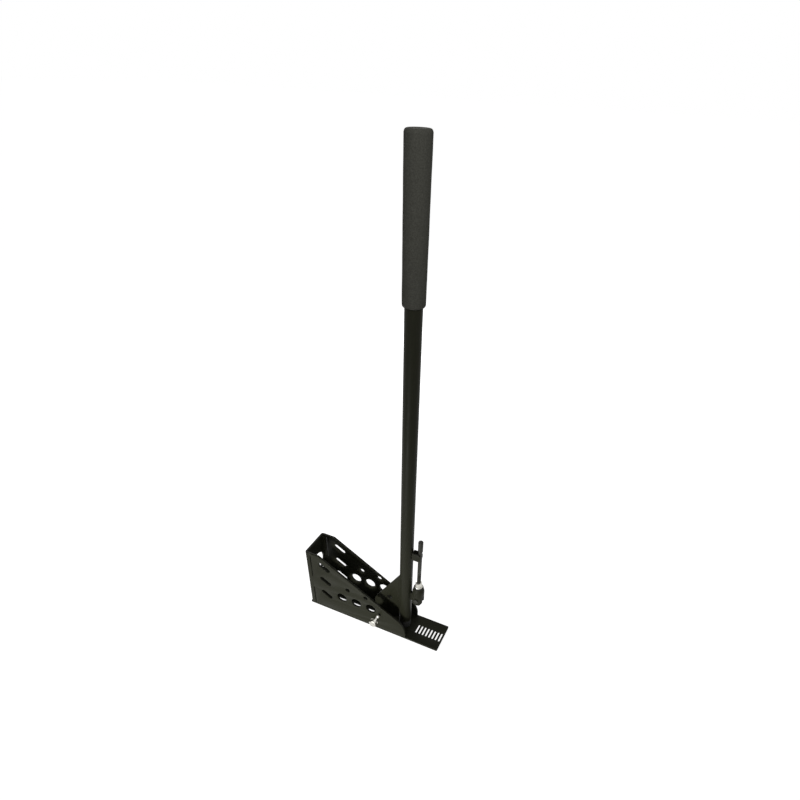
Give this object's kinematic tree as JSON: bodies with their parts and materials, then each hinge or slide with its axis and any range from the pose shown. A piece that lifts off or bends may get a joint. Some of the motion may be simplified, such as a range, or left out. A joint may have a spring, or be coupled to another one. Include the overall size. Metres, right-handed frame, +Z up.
{
  "type": "floor mounted parking brake lever",
  "caption": "Upright floor-mounted hand brake lever: foam-gripped tube on a low pivot between triangular side plates, with a swing-down lock strut and a slotted foot.",
  "frame": {"origin": "underside of the base plate on its middle line, midway between the two floor slots", "axes": "+X from the rear plate towards the slotted foot, +Y across the base, +Z up along the lever"},
  "size_m": [0.264, 0.0782, 0.757],
  "materials": {
    "powder_coat": "satin black powder coat on steel",
    "black_oxide": "black finished steel",
    "zinc_plate": "bright zinc plated steel",
    "bronze": "plain sintered bronze",
    "foam": "closed-cell black foam",
    "rubber": "moulded black rubber",
    "plug_plastic": "black moulded plastic"
  },
  "bodies": {
    "base": {"base_plate": "powder_coat", "rear_plate": "powder_coat", "near_side_plate": "powder_coat", "far_side_plate": "powder_coat", "rest_buffer": "rubber", "pivot_bolt": "zinc_plate", "grease_nipple": "zinc_plate", "near_washer": "zinc_plate", "far_washer": "zinc_plate", "pivot_nut": "zinc_plate", "pivot_sleeve": "zinc_plate"},
    "lever": {"lever_tube": "powder_coat", "lever_blade": "powder_coat", "pivot_boss": "powder_coat", "near_bush": "bronze", "far_bush": "bronze", "foam_grip": "foam", "tube_end_plug": "plug_plastic", "strut_lug": "powder_coat", "stow_clip": "powder_coat", "clip_rivet": "zinc_plate", "strut_pin": "black_oxide", "strut_pin_clip": "black_oxide"},
    "strut": {"strut_barrel": "powder_coat", "strut_washer": "rubber", "strut_nut": "zinc_plate", "strut_rod": "black_oxide", "strut_tip": "black_oxide"}
  },
  "joints": [
    {"name": "lever_pivot", "type": "hinge", "parent": "base", "child": "lever", "pos_m": [0.036, 0, 0.0165], "axis": [0, -1, 0], "range_deg": [0, 35]},
    {"name": "strut_swing", "type": "hinge", "parent": "lever", "child": "strut", "pos_m": [0.109, 0, 0.0885], "axis": [0, 1, 0], "range_deg": [0, 120]}
  ]
}
